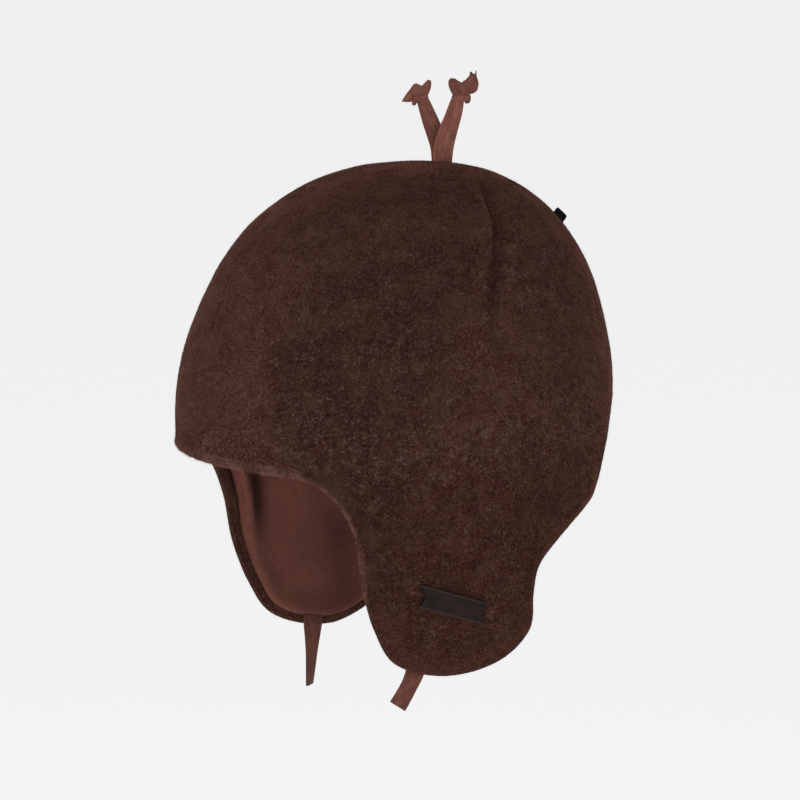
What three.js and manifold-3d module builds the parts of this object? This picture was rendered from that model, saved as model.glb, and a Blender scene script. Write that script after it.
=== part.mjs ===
// A toddler's fleece hat with ear flaps, a jersey lining, two knotted ties on top and two chin ties.
// Millimetres, +Z up. The forehead faces -Y and the wearer's left is +X.
// The origin is where the top of the head meets the lining.
import * as THREE from 'three';
import { mergeVertices } from 'three/addons/utils/BufferGeometryUtils.js';
import Module from 'manifold-3d';

const wasm = await Module();
wasm.setup();

// Outer form: reaches from the crown's axis at the widest level, and the crown's height above it
const REACH = { side: 73, front: 102.2, back: 86 };
const CROWN_HEIGHT = 96.8;
// Powers under 1 make a profile fuller than an ellipse
const CROWN_FULLNESS = { side: 0.81, front: 0.92, back: 0.76 };
// The brow between crown and widest level is a little flatter than that, by this much at its middle
const BROW_INWARD = 2.8;
// How far each profile has come in, 100 mm below the widest level, and how late it starts to
const TAPER = {
  side: { inward: 18.4, power: 1.7 },
  front: { inward: -2.7, power: 1.3 },
  back: { inward: 29, power: 1.4 },
};
const TAPER_DEPTH = 100;
// Level sections are superellipses: 2 is an ellipse, more is squarer
const SECTION_POWER = 2.18;
// Between these azimuths the front's reach passes over into the back's
const TURN = { from: 60, to: 120 };

// Lower edge of one half, front centre to back centre. Azimuth 0 is the forehead, 90 the ear.
// crown is the azimuth at the widest level from which the cloth's grain runs down to the edge.
const EDGE = [
  { crown: 0, azimuth: 0, height: -17.2 },
  { crown: 31, azimuth: 26.4, height: -17.8 },
  { crown: 49.5, azimuth: 43.2, height: -21 },
  { crown: 57, azimuth: 51, height: -31.5 },
  { crown: 62.5, azimuth: 55.6, height: -46.6 },
  { crown: 67.5, azimuth: 57.7, height: -64.6 },
  { crown: 72, azimuth: 61.9, height: -84 },
  { crown: 77, azimuth: 68.7, height: -101 },
  { crown: 83.5, azimuth: 81.6, height: -108.5 },
  { crown: 90, azimuth: 104, height: -102.7 },
  { crown: 95.5, azimuth: 115.4, height: -92.5 },
  { crown: 102, azimuth: 110.4, height: -76 },
  { crown: 109.5, azimuth: 109.5, height: -64 },
  { crown: 120, azimuth: 118.3, height: -53.8 },
  { crown: 138, azimuth: 134.1, height: -45 },
  { crown: 157.5, azimuth: 154.5, height: -40.5 },
  { crown: 180, azimuth: 180, height: -39.5 },
];
// Worn, each flap hangs a little its own way. swing is to the back, in degrees at its bottom, and
// lift is how many millimetres higher its back corner is, for each degree behind its middle.
const HANG = { middle: 85, from: -45, to: -100 };
const HANG_LEFT = { swing: 0.4, lift: 0 };
const HANG_RIGHT = { swing: -0.7, lift: 0.16 };

// Cloth
const FLEECE = 3;
const LINING = 1;
const GAP = 0.3;
const LINING_START = FLEECE + GAP + 0.05;
// The fleece is turned in all round the edge: distance from the edge, and depth below the outer face
const HEM = [
  { fromEdge: 4.0, depth: 0 },
  { fromEdge: 1.5, depth: 0.3 },
  { fromEdge: 0.3, depth: 1.3 },
  { fromEdge: 0, depth: 2.5 },
  { fromEdge: 0.4, depth: 3.8 },
  { fromEdge: 1.5, depth: 4.6 },
  { fromEdge: 3.5, depth: 4.8 },
  { fromEdge: 4.0, depth: FLEECE },
];
const HEM_THICKNESS = 4.8;
const LINING_EDGE = 4.8;
// A sewn dart on each side, from behind the top down to the temple: a valley with a ridge before it.
// line is its course in plan, and it fades out at these heights above the widest level.
const DART = {
  line: [
    { x: 10, y: 22 },
    { x: 33.5, y: 12.5 },
    { x: 47, y: 9.2 },
    { x: 54, y: 5.9 },
    { x: 59, y: 0.6 },
    { x: 65, y: -5 },
  ],
  valley: { depth: 1.8, spread: 4.5 },
  ridge: { depth: 1.0, spread: 5, ahead: 8 },
  low: { from: 30, to: 64 },
  high: { from: 84, to: 96 },
};

// Mesh density
const COLUMNS = 32;
const CROWN_ROWS = 8;
const LOWER_ROWS = 8;

// Ties are flat tapes. Top ties stand in the seam behind the top: foot is how far behind,
// and bend, knot and the tails from the knot are places in the plane of the seam.
const TIE_WIDTH = 7.5;
const TIE_THICKNESS = 1.2;
// How far a top tie is turned to the seam, and how far from it its bend and its knot lean
const TIE_TURN = 12;
const TIE_LEAN = { bend: 0.8, knot: 1.6 };
const KNOT = { length: 7.5, breadth: 6.6, depth: 4.8 };
// The tape is drawn in where it enters a knot: how far before its middle, and to what share there
const GATHER = { before: 3.5, neck: 0.85, middle: 0.6, after: 0.8 };
const TOP_TIES = [
  {
    name: 'left_top_tie',
    side: 1,
    foot: 15.2,
    bend: { y: 18.6, z: 111.7 },
    knot: { y: 24.2, z: 126 },
    tails: [
      { y: 6.4, z: 4, width: 7 },
      { y: -6.6, z: 1.6, width: 6.4 },
    ],
  },
  {
    name: 'right_top_tie',
    side: -1,
    foot: 14.2,
    bend: { y: 11.6, z: 111.7 },
    knot: { y: 5.8, z: 125.8 },
    tails: [
      { y: -8.2, z: -2.6, width: 4.4 },
      { y: 3.4, z: 4.2, width: 3.8 },
    ],
  },
];
// Chin ties hang from inside the hem: where round the edge, how far down, and how far they swing.
// Their sewn end is this far above the hem's edge.
const CHIN_TIE_SEWN = 3.3;
const CHIN_TIES = [
  { name: 'left_chin_tie', side: 1, azimuth: 74, hang: 14.6, swing: -8.7, twist: -20 },
  { name: 'right_chin_tie', side: -1, azimuth: 77.5, hang: 27.3, swing: -1.8, twist: -38 },
];

// Label on the wearer's left flap, with a notch in each end, and a folded tab in the back seam
const LABEL = {
  length: 34,
  height: 10,
  thickness: 1.2,
  notch: 2.2,
  azimuth: 79.3,
  way: 1.742,
  tilt: -20,
  lean: -6,
};
const TAB = { width: 6.2, proud: 8.2, thickness: 1.6, fold: 0.8, polar: 48.1, lean: 16 };

// Colours
const FLEECE_LOOK = { color: 0x3a251f, roughness: 1, metalness: 0 };
const LINING_LOOK = { color: 0x4d2d27, roughness: 0.95, metalness: 0 };
const TIE_LOOK = { color: 0x6e463e, roughness: 0.9, metalness: 0 };
const LEATHER_LOOK = { color: 0x2f2723, roughness: 0.7, metalness: 0 };
const TAB_LOOK = { color: 0x0d0c0c, roughness: 0.85, metalness: 0 };

// Reach of one profile: above the widest level by polar angle, below it by depth in mm
function reachAbove(side, polar) {
  const full = REACH[side] * Math.sin(polar) ** CROWN_FULLNESS[side];
  if (side !== 'front') return full;
  const way = polar * 2 / Math.PI;
  return full - BROW_INWARD * Math.sin(Math.PI * way ** 2) ** 2;
}

function reachBelow(side, depth) {
  const { inward, power } = TAPER[side];
  return REACH[side] - inward * (depth / TAPER_DEPTH) ** power;
}

// A place on the form: azimuth in degrees, and way down the cloth from the crown.
// way is 0 at the top, 1 at the widest level, and 1 + depth / TAPER_DEPTH below it.
function formPoint(azimuth, way) {
  const turn = THREE.MathUtils.degToRad(azimuth);
  const polar = Math.min(way, 1) * Math.PI / 2;
  const depth = Math.max(way - 1, 0) * TAPER_DEPTH;
  const reach = (side) => (way < 1 ? reachAbove(side, polar) : reachBelow(side, depth));
  const across = Math.sin(turn);
  const back = -Math.cos(turn);
  const round = Math.abs(across) ** SECTION_POWER + Math.abs(back) ** SECTION_POWER;
  const section = round ** (-1 / SECTION_POWER);
  const behind = THREE.MathUtils.smoothstep(Math.abs(azimuth), TURN.from, TURN.to);
  const length = THREE.MathUtils.lerp(reach('front'), reach('back'), behind);
  const height = way < 1 ? CROWN_HEIGHT * Math.cos(polar) : -depth;
  return new THREE.Vector3(across * section * reach('side'), back * section * length, height);
}

// Outward direction of the form, from two short steps over it
function formNormal(azimuth, way) {
  if (way < 0.01) return new THREE.Vector3(0, 0, 1);
  const step = { azimuth: 0.5, way: 0.005 };
  const round = formPoint(azimuth + step.azimuth, way).sub(formPoint(azimuth - step.azimuth, way));
  const down = formPoint(azimuth, way + step.way).sub(formPoint(azimuth, way - step.way));
  return down.cross(round).normalize();
}

// Millimetres round the form for one degree of azimuth
function roundSpeed(azimuth, way) {
  return formPoint(azimuth + 0.5, way).distanceTo(formPoint(azimuth - 0.5, way));
}

// The dart's place to the back, at one distance from the centre
function dartLine(across) {
  const { line } = DART;
  let next = 1;
  while (next < line.length - 1 && line[next].x < across) next += 1;
  const [a, b] = [line[next - 1], line[next]];
  const part = THREE.MathUtils.clamp((across - a.x) / (b.x - a.x), 0, 1);
  return THREE.MathUtils.lerp(a.y, b.y, part);
}

// How far the dart draws the cloth in, less how far it lifts it before
function dartDepth(point) {
  const behind = point.y - dartLine(Math.abs(point.x));
  const below = THREE.MathUtils.smoothstep(point.z, DART.low.from, DART.low.to);
  const strength = below * (1 - THREE.MathUtils.smoothstep(point.z, DART.high.from, DART.high.to));
  const valley = DART.valley.depth * Math.exp(-((behind / DART.valley.spread) ** 2));
  const ridgeOff = (behind + DART.ridge.ahead) / DART.ridge.spread;
  return strength * (valley - DART.ridge.depth * Math.exp(-(ridgeOff ** 2)));
}

// A place inside the cloth, at a depth below its outer face
function clothPoint(azimuth, way, depth) {
  const point = formPoint(azimuth, way);
  const inward = depth + dartDepth(point);
  return point.addScaledVector(formNormal(azimuth, way), -inward);
}

// Lower edge as one smooth curve through the table
const edgeCurve = new THREE.CatmullRomCurve3(
  EDGE.map((row) => new THREE.Vector3(row.crown, row.azimuth, row.height)),
  false,
  'centripetal',
);

// A place on one half's edge, where its flap has swung and its back corner is lifted
function hung(azimuth, height, side) {
  const own = side > 0 ? HANG_LEFT : HANG_RIGHT;
  const share = THREE.MathUtils.smoothstep(-height, -HANG.from, -HANG.to);
  return {
    azimuth: azimuth + share * own.swing,
    height: height + share * own.lift * Math.max(azimuth - HANG.middle, 0),
  };
}

// A place on the cloth of one half, a set distance in from the edge and square to it
function edgePlace(share, fromEdge, side) {
  const at = edgeCurve.getPointAt(share);
  const tangent = edgeCurve.getTangentAt(share);
  const perDegree = roundSpeed(at.y, 1 - at.z / TAPER_DEPTH);
  const centred = share === 0 || share === 1;
  const run = new THREE.Vector2(tangent.y * perDegree, centred ? 0 : tangent.z).normalize();
  const inward = at.y - run.y * fromEdge / perDegree;
  const { azimuth, height } = hung(inward, at.z + run.x * fromEdge, side);
  return { crown: at.x, azimuth, way: 1 - height / TAPER_DEPTH };
}

// The rows of one column of cloth, from the crown down to the lining's edge
function clothRows(share, side) {
  const end = edgePlace(share, LINING_EDGE, side);
  const rows = [];
  for (let row = 1; row <= CROWN_ROWS; row += 1) {
    rows.push({ azimuth: end.crown, way: row / CROWN_ROWS });
  }
  for (let row = 1; row <= LOWER_ROWS; row += 1) {
    const part = row / LOWER_ROWS;
    const azimuth = THREE.MathUtils.lerp(end.crown, end.azimuth, part ** 3);
    rows.push({ azimuth, way: THREE.MathUtils.lerp(1, end.way, part) });
  }
  return rows;
}

// One half of a cloth layer: columns of rows that run down outside and back up inside.
// Every column shares its first and last point, at the crown.
function halfLayer(columnOf, side) {
  const columns = [];
  for (let column = 0; column <= COLUMNS; column += 1) {
    const points = columnOf(column / COLUMNS, side);
    if (column === 0 || column === COLUMNS) points.forEach((point) => point.setX(0));
    columns.push(points);
  }
  const last = columns[0].length - 1;
  const position = [];
  const face = (...corners) => {
    const order = side > 0 ? corners : corners.reverse();
    order.forEach((point) => position.push(side * (point.x + GAP / 2), point.y, point.z));
  };
  for (let column = 0; column < COLUMNS; column += 1) {
    const here = columns[column];
    const next = columns[column + 1];
    for (let row = 0; row < last; row += 1) {
      const corners = [here[row], here[row + 1], next[row + 1], next[row]];
      // Inside and outside are split along the same diagonal, so that layers stay clear
      const [a, b, c, d] = row < last / 2 ? corners : [...corners.slice(1), corners[0]];
      if (row > 0 && row < last - 1) face(a, b, d);
      face(d, b, c);
    }
  }
  // Seam faces, between each outer row and the inner row beside it
  for (const [points, turned] of [[columns[0], true], [columns[COLUMNS], false]]) {
    for (let row = 0; row < last / 2 - 1; row += 1) {
      const quad = [points[row], points[row + 1], points[last - row - 1], points[last - row]];
      if (turned) quad.reverse();
      face(quad[0], quad[1], quad[2]);
      face(quad[0], quad[2], quad[3]);
    }
  }
  const geometry = new THREE.BufferGeometry();
  geometry.setAttribute('position', new THREE.Float32BufferAttribute(position, 3));
  return mergeVertices(geometry, 1e-4);
}

function fleeceColumn(share, side) {
  const rows = clothRows(share, side);
  const outside = rows.map((row) => clothPoint(row.azimuth, row.way, 0));
  const inside = rows.map((row) => clothPoint(row.azimuth, row.way, FLEECE)).reverse();
  const hem = HEM.map(({ fromEdge, depth }) => {
    const at = edgePlace(share, fromEdge, side);
    return clothPoint(at.azimuth, at.way, depth);
  });
  return [clothPoint(0, 0, 0), ...outside, ...hem, ...inside, clothPoint(0, 0, FLEECE)];
}

function liningColumn(share, side) {
  const rows = clothRows(share, side);
  const outer = LINING_START;
  const inner = LINING_START + LINING;
  const outside = rows.map((row) => clothPoint(row.azimuth, row.way, outer));
  const inside = rows.map((row) => clothPoint(row.azimuth, row.way, inner)).reverse();
  return [clothPoint(0, 0, outer), ...outside, ...inside, clothPoint(0, 0, inner)];
}

// A closed body through loops of points, with flat ends
function loft(loops) {
  const position = [];
  const face = (a, b, c) => [a, b, c].forEach((p) => position.push(p.x, p.y, p.z));
  const size = loops[0].length;
  for (let loop = 0; loop < loops.length - 1; loop += 1) {
    for (let side = 0; side < size; side += 1) {
      const next = (side + 1) % size;
      face(loops[loop][side], loops[loop][next], loops[loop + 1][side]);
      face(loops[loop][next], loops[loop + 1][next], loops[loop + 1][side]);
    }
  }
  const first = loops[0];
  const end = loops[loops.length - 1];
  for (let side = 1; side < size - 1; side += 1) {
    face(first[0], first[side + 1], first[side]);
    face(end[0], end[side], end[side + 1]);
  }
  const geometry = new THREE.BufferGeometry();
  geometry.setAttribute('position', new THREE.Float32BufferAttribute(position, 3));
  return mergeVertices(geometry, 1e-4);
}

// A flat tape through stations: a place, the way its width runs, and its width
function tape(stations, thickness = TIE_THICKNESS) {
  const path = new THREE.CatmullRomCurve3(stations.map((station) => station.at));
  const loops = stations.map((station, index) => {
    const forward = path.getTangent(index / (stations.length - 1));
    const across = station.across.clone().addScaledVector(forward, -station.across.dot(forward));
    across.normalize().multiplyScalar(station.width / 2);
    const face = forward.clone().cross(across).normalize().multiplyScalar(thickness / 2);
    const corner = (a, b) => station.at.clone().addScaledVector(across, a).addScaledVector(face, b);
    return [corner(-1, -1), corner(1, -1), corner(1, 1), corner(-1, 1)];
  });
  return loft(loops);
}

function place(x, y, z) {
  return new THREE.Vector3(x, y, z);
}

function solidOf(geometry) {
  const merged = mergeVertices(geometry, 1e-4);
  return new wasm.Manifold(new wasm.Mesh({
    numProp: 3,
    vertProperties: new Float32Array(merged.attributes.position.array),
    triVerts: new Uint32Array(merged.index.array),
  }));
}

// Several overlapping shapes fused into one body
function fuse(geometries) {
  const joined = geometries.map(solidOf).reduce((body, next) => body.add(next));
  const mesh = joined.getMesh();
  const geometry = new THREE.BufferGeometry();
  geometry.setAttribute('position', new THREE.Float32BufferAttribute(mesh.vertProperties, 3));
  geometry.setIndex(new THREE.BufferAttribute(mesh.triVerts, 1));
  return geometry;
}

// The lump of an overhand knot, longest along the tape
function knotLump(at, along) {
  const geometry = new THREE.SphereGeometry(0.5, 12, 8);
  geometry.deleteAttribute('normal');
  geometry.deleteAttribute('uv');
  geometry.scale(KNOT.depth, KNOT.breadth, KNOT.length);
  geometry.applyQuaternion(new THREE.Quaternion().setFromUnitVectors(place(0, 0, 1), along));
  geometry.translate(at.x, at.y, at.z);
  return geometry;
}

// Height of the outer cloth over the back seam, at one distance behind the top
function seamHeight(y) {
  const polar = Math.asin((y / REACH.back) ** (1 / CROWN_FULLNESS.back));
  return CROWN_HEIGHT * Math.cos(polar);
}

// A tie on top of the crown: a tape up from the seam, a knot, and the tape's cut tails
function topTie({ side, foot, bend, knot, tails }) {
  const across = place(0, 1, 0).applyAxisAngle(place(0, 0, 1), -THREE.MathUtils.degToRad(TIE_TURN));
  const x = side * (TIE_THICKNESS / 2 + GAP);
  const seat = place(x, foot, seamHeight(foot - TIE_WIDTH / 2) + GAP);
  const middle = place(x + side * TIE_LEAN.knot, knot.y, knot.z);
  const turn = place(x + side * TIE_LEAN.bend, bend.y, bend.z);
  const leaning = middle.clone().sub(turn).normalize();
  const neck = middle.clone().addScaledVector(leaning, -GATHER.before);
  const strap = tape([
    { at: seat, across, width: TIE_WIDTH },
    { at: seat.clone().add(place(0, 0, TIE_WIDTH * 0.4)), across, width: TIE_WIDTH },
    { at: turn, across, width: TIE_WIDTH },
    { at: neck, across, width: TIE_WIDTH * GATHER.neck },
    { at: middle, across, width: TIE_WIDTH * GATHER.middle },
  ]);
  const ends = tails.map((tail) => {
    const toward = place(side * (TIE_LEAN.knot - TIE_LEAN.bend), tail.y, tail.z);
    const flat = toward.clone().cross(place(1, 0, 0));
    return tape([
      { at: middle, across: flat, width: tail.width * GATHER.middle },
      { at: middle.clone().addScaledVector(toward, 0.5), across: flat, width: tail.width * GATHER.after },
      { at: middle.clone().add(toward), across: flat, width: tail.width },
    ]);
  });
  return fuse([strap, knotLump(middle, leaning), ...ends]);
}

// How far round the edge an azimuth of the flap's bottom is reached
function edgeShareAt(azimuth) {
  let low = 0;
  let high = 0.5;
  for (let step = 0; step < 20; step += 1) {
    const middle = (low + high) / 2;
    if (edgeCurve.getPointAt(middle).y < azimuth) low = middle;
    else high = middle;
  }
  return low;
}

// A chin tie: it starts inside the hem at the bottom of a flap and hangs below it
function chinTie({ side, azimuth, hang, swing, twist }) {
  const share = edgeShareAt(azimuth);
  const inside = HEM_THICKNESS + GAP + TIE_THICKNESS / 2;
  const [top, low] = [CHIN_TIE_SEWN, 0.5].map((fromEdge) => {
    const at = edgePlace(share, fromEdge, side);
    return clothPoint(at.azimuth, at.way, inside);
  });
  const across = low.clone().sub(top).cross(formNormal(azimuth, 1 - low.z / TAPER_DEPTH)).normalize();
  if (across.y < 0) across.negate();
  const stations = [top, low].map((at) => ({ at, across, width: TIE_WIDTH }));
  const steps = 6;
  for (let step = 1; step <= steps; step += 1) {
    const part = step / steps;
    const at = low.clone().add(place(0, swing * part ** 1.3, -hang * part));
    const turn = THREE.MathUtils.degToRad(twist * part);
    const turned = across.clone().applyAxisAngle(place(0, 0, 1), turn);
    stations.push({ at, across: turned, width: TIE_WIDTH });
  }
  const mirror = place(side, 1, 1);
  stations.forEach((station) => {
    station.at = station.at.clone().multiply(mirror);
    station.across = station.across.clone().multiply(mirror);
  });
  return tape(stations);
}

// The azimuth a set distance round the form
function azimuthAfter(azimuth, way, distance) {
  const steps = 6;
  let reached = azimuth;
  for (let step = 0; step < steps; step += 1) {
    reached += distance / steps / roundSpeed(reached, way);
  }
  return reached;
}

// A flat piece that follows the outer cloth, tilted, with its middle at one place
function clothPatch({ length, height, thickness, notch, azimuth, way, tilt, lean }) {
  const turn = THREE.MathUtils.degToRad(tilt);
  const slant = THREE.MathUtils.degToRad(lean);
  const at = (along, up, depth) => {
    const round = along * Math.cos(turn) - up * Math.sin(slant);
    const rise = along * Math.sin(turn) + up * Math.cos(slant);
    const level = way - rise / TAPER_DEPTH;
    return clothPoint(azimuthAfter(azimuth, level, round), level, depth);
  };
  const steps = 8;
  const half = height / 2;
  const out = -GAP - thickness;
  const loops = [];
  for (let step = 0; step <= steps; step += 1) {
    const edge = (step / steps - 0.5) * length;
    const middle = (step / steps - 0.5) * (length - 2 * notch);
    loops.push([
      at(middle, 0, -GAP),
      at(edge, half, -GAP),
      at(edge, half, out),
      at(middle, 0, out),
      at(edge, -half, out),
      at(edge, -half, -GAP),
    ]);
  }
  return loft(loops);
}

// The folded tab in the back seam. It leans up from the square, and its fold is round.
function foldedTab() {
  const way = TAB.polar / 90;
  const sideways = place(1, 0, 0);
  const square = formNormal(180, way);
  const out = square.clone().applyAxisAngle(sideways, THREE.MathUtils.degToRad(TAB.lean));
  const along = out.clone().cross(sideways);
  const lift = GAP + TAB.width / 2 * Math.sin(THREE.MathUtils.degToRad(TAB.lean));
  const seat = formPoint(180, way).addScaledVector(square, lift);
  const half = TAB.thickness / 2;
  const shoulder = TAB.proud - TAB.fold;
  const outline = [
    [-half, 0],
    [half, 0],
    [half, shoulder],
    [half / 2, TAB.proud],
    [-half / 2, TAB.proud],
    [-half, shoulder],
  ];
  const loopAt = (offset) => outline.map(([aside, rise]) => seat.clone()
    .addScaledVector(along, offset)
    .addScaledVector(out, rise)
    .addScaledVector(sideways, aside));
  return loft([loopAt(TAB.width / 2), loopAt(-TAB.width / 2)]);
}

// Every piece goes under one group, lowered so that the head's seat is at the origin
const group = new THREE.Group();
const hat = new THREE.Group();
hat.position.z = -(CROWN_HEIGHT - LINING_START - LINING);
group.add(hat);

function addPiece(name, geometry, look) {
  const mesh = new THREE.Mesh(geometry, new THREE.MeshStandardMaterial(look));
  mesh.name = name;
  hat.add(mesh);
}

addPiece('left_shell_panel', halfLayer(fleeceColumn, 1), FLEECE_LOOK);
addPiece('right_shell_panel', halfLayer(fleeceColumn, -1), FLEECE_LOOK);
addPiece('left_lining_panel', halfLayer(liningColumn, 1), LINING_LOOK);
addPiece('right_lining_panel', halfLayer(liningColumn, -1), LINING_LOOK);
TOP_TIES.forEach((tie) => addPiece(tie.name, topTie(tie), TIE_LOOK));
CHIN_TIES.forEach((tie) => addPiece(tie.name, chinTie(tie), TIE_LOOK));
addPiece('label', clothPatch(LABEL), LEATHER_LOOK);
addPiece('back_tab', foldedTab(), TAB_LOOK);

export default group;
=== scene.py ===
import math

import bmesh
import bpy
import numpy as np
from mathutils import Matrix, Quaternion, Vector, noise


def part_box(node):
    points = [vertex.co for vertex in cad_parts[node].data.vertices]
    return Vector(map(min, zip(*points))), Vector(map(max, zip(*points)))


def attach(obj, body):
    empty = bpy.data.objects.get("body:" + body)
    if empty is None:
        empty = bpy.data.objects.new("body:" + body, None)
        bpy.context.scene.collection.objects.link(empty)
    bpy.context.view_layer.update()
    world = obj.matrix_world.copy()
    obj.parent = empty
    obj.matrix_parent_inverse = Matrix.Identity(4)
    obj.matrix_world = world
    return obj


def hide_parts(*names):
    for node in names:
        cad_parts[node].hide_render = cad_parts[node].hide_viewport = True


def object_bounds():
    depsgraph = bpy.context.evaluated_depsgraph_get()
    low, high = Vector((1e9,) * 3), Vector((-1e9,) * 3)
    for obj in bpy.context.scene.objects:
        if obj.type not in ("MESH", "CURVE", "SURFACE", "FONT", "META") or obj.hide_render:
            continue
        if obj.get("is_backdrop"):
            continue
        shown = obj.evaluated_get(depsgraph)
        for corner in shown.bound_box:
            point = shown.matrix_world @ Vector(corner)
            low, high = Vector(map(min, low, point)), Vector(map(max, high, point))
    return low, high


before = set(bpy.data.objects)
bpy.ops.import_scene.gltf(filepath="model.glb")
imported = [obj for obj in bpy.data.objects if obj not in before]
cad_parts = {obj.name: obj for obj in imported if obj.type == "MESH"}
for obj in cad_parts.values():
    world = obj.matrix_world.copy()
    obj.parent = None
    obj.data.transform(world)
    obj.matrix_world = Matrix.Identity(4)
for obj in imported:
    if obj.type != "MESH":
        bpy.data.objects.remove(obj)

# %% [markdown]
# A toddler's fleece hat
#
# The hat is two mirror-image halves of napped wool fleece, sewn together over the head and lined
# with thin jersey. It could be sculpted by eye, but a sewn hat has a plain rule behind it: a form
# like a head, a lower edge cut to one outline, and cloth of one thickness between them. So one
# function says where any point of the cloth lies, and every layer of cloth, the label too, asks it.
# Metres, +Z up. The forehead faces -Y and the wearer's left is +X.

# %% The CAD box, and the units
MM = 0.001
SIDES = {"left": 1, "right": -1}
cad_low, cad_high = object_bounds()
left_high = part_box("left_shell_panel")[1]
print("CAD box, mm:", [round((b - a) / MM, 1) for a, b in zip(cad_low, cad_high)])

# %% [markdown]
# Camera
#
# A product shot is taken from far off with a long lens, so that the near flap isn't swollen. The
# place could be tried by eye. It was found from the outline of the hat instead: a little above it,
# turned well round to its left side, and level. The camera comes first because each later choice
# is judged through it.

# %% Camera
CAMERA = {"azimuth": 58.7, "height": 10.59, "distance": 1327 * MM}
AIM = Vector((-2.0, -4.16, -94.85)) * MM
FOCAL_PIXELS = 3191
IMAGE_PIXELS = 800


def placed(name, data):
    """A new object in the scene, at the origin."""
    thing = bpy.data.objects.new(name, data)
    bpy.context.scene.collection.objects.link(thing)
    return thing


def aimed(name, data, azimuth, height, distance):
    """An object turned to the hat, from an azimuth and a height in degrees and a distance."""
    thing = placed(name, data)
    turn, rise = math.radians(azimuth), math.radians(height)
    back = Vector((math.sin(turn) * math.cos(rise), -math.cos(turn) * math.cos(rise), math.sin(rise)))
    thing.location = AIM + back * distance
    thing.rotation_euler = (-back).to_track_quat("-Z", "Y").to_euler()
    return thing


camera_data = bpy.data.cameras.new("camera")
camera_data.lens = FOCAL_PIXELS / IMAGE_PIXELS * camera_data.sensor_width
bpy.context.scene.camera = aimed("camera", camera_data, **CAMERA)
print("lens, mm:", round(camera_data.lens, 1))

# %% [markdown]
# The form of the head
#
# Seen level, the hat is a superellipse: a little squarer than an ellipse, with its own reach to
# the side, the front and the back. Above the widest level the reach closes to the crown, and
# below it the cloth comes in towards the neck. The azimuth is 0 at the forehead, 90 at the ear and
# 180 at the nape. The way down the cloth is 0 at the crown and 1 at the widest level.

# %% Sizes of the form
GAP = 0.3 * MM
REACH = {"side": left_high.x - GAP / 2, "front": 102.2 * MM, "back": left_high.y}
CROWN_HEIGHT = 96.8 * MM
WIDEST_LEVEL = left_high.z - CROWN_HEIGHT
SECTION_POWER = 2.18
# How full the crown is towards each side, and the brow's slight dip inward
FULLNESS = {"side": 0.81, "front": 0.92, "back": 0.76}
BROW_INWARD = 2.8 * MM
# How far each side has come in at the taper's depth, and the power that it comes in by
TAPER_DEPTH = 100 * MM
TAPER = {"side": (18.4 * MM, 1.7), "front": (-2.7 * MM, 1.3), "back": (29 * MM, 1.4)}
# The azimuths between which the front's reach turns into the back's
TURN = (60, 120)
print("reach, mm:", {name: round(reach / MM, 1) for name, reach in REACH.items()})


# %% A point of the form, and the way that it faces
def smooth_step(value, low, high):
    share = np.clip((value - low) / (high - low), 0, 1)
    return share * share * (3 - 2 * share)


def form_point(azimuth, way):
    """Points of the outer form, for arrays of azimuth in degrees and way down the cloth."""
    turn = np.radians(azimuth)
    polar = np.clip(way, 0, 1) * np.pi / 2
    depth = np.maximum(way - 1, 0) * TAPER_DEPTH
    reach = {}
    for name, full in REACH.items():
        inward, power = TAPER[name]
        above = full * np.sin(polar) ** FULLNESS[name]
        if name == "front":
            above = above - BROW_INWARD * np.sin(np.pi * np.clip(way, 0, 1) ** 2) ** 2
        reach[name] = np.where(way < 1, above, full - inward * (depth / TAPER_DEPTH) ** power)
    round_it = np.abs(np.sin(turn)) ** SECTION_POWER + np.abs(np.cos(turn)) ** SECTION_POWER
    section = round_it ** (-1 / SECTION_POWER)
    behind = smooth_step(np.abs(azimuth), *TURN)
    length = reach["front"] + (reach["back"] - reach["front"]) * behind
    across = np.sin(turn) * section * reach["side"]
    height = np.where(way < 1, CROWN_HEIGHT * np.cos(polar), -depth)
    return np.stack([across, -np.cos(turn) * section * length, height], -1)


def round_step(azimuth, way):
    """The step round the form over one degree of azimuth."""
    return form_point(azimuth + 0.5, way) - form_point(azimuth - 0.5, way)


def form_normal(azimuth, way):
    down = form_point(azimuth, way + 0.005) - form_point(azimuth, way - 0.005)
    normal = np.cross(down, round_step(azimuth, way))
    length = np.linalg.norm(normal, axis=-1, keepdims=True)
    top = np.asarray(way)[..., None] < 0.01
    return np.where(top, [0.0, 0.0, 1.0], normal / np.maximum(length, 1e-12))


# %% [markdown]
# Cloth on the form
#
# Real fleece is never as even as the formula. A sewn dart draws it in on each side of the crown,
# the seam over the head is a shallow groove, and the whole surface is a little uneven. They could
# be bump in a material, but then the outline and the exported mesh would stay smooth, so they
# move the cloth itself. Every layer is moved alike, which keeps the layers clear of each other.

# %% Dart, seam groove and unevenness
# The dart's line: how far out from the seam, and how far back. It sets in and ends by height
DART_LINE = np.array([(10, 22), (33.5, 13.5), (47, 10.9), (54, 7.6), (59, 2.2), (65, -3)]) * MM
DART_LOW = (36 * MM, 66 * MM)
DART_HIGH = (81 * MM, 93 * MM)
# Folds across the dart: how deep, how wide, and how far ahead of its line
DART_FOLDS = np.array([(1.0, 4.2, 0), (1.9, 1.6, 0), (-0.9, 5, 8), (-0.55, 2.6, 4)]) * MM
# The seam shows behind the ties, and not over the brow, where the nap closes over it
SEAM = {"depth": 0.6 * MM, "spread": 1.1 * MM, "starts": (20 * MM, 40 * MM)}
# Lumps of the cloth: how large, and how high
UNEVEN = ((26 * MM, 0.55 * MM), (9 * MM, 0.14 * MM))


def bell(distance, spread):
    """1 at no distance, and evenly less to both sides."""
    return np.exp(-((distance / spread) ** 2))


def read_off(table, spot, column=1):
    """Values of a table's column, read off at places between the rows of its first column."""
    return np.interp(spot, table[:, 0], table[:, column])


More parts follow.
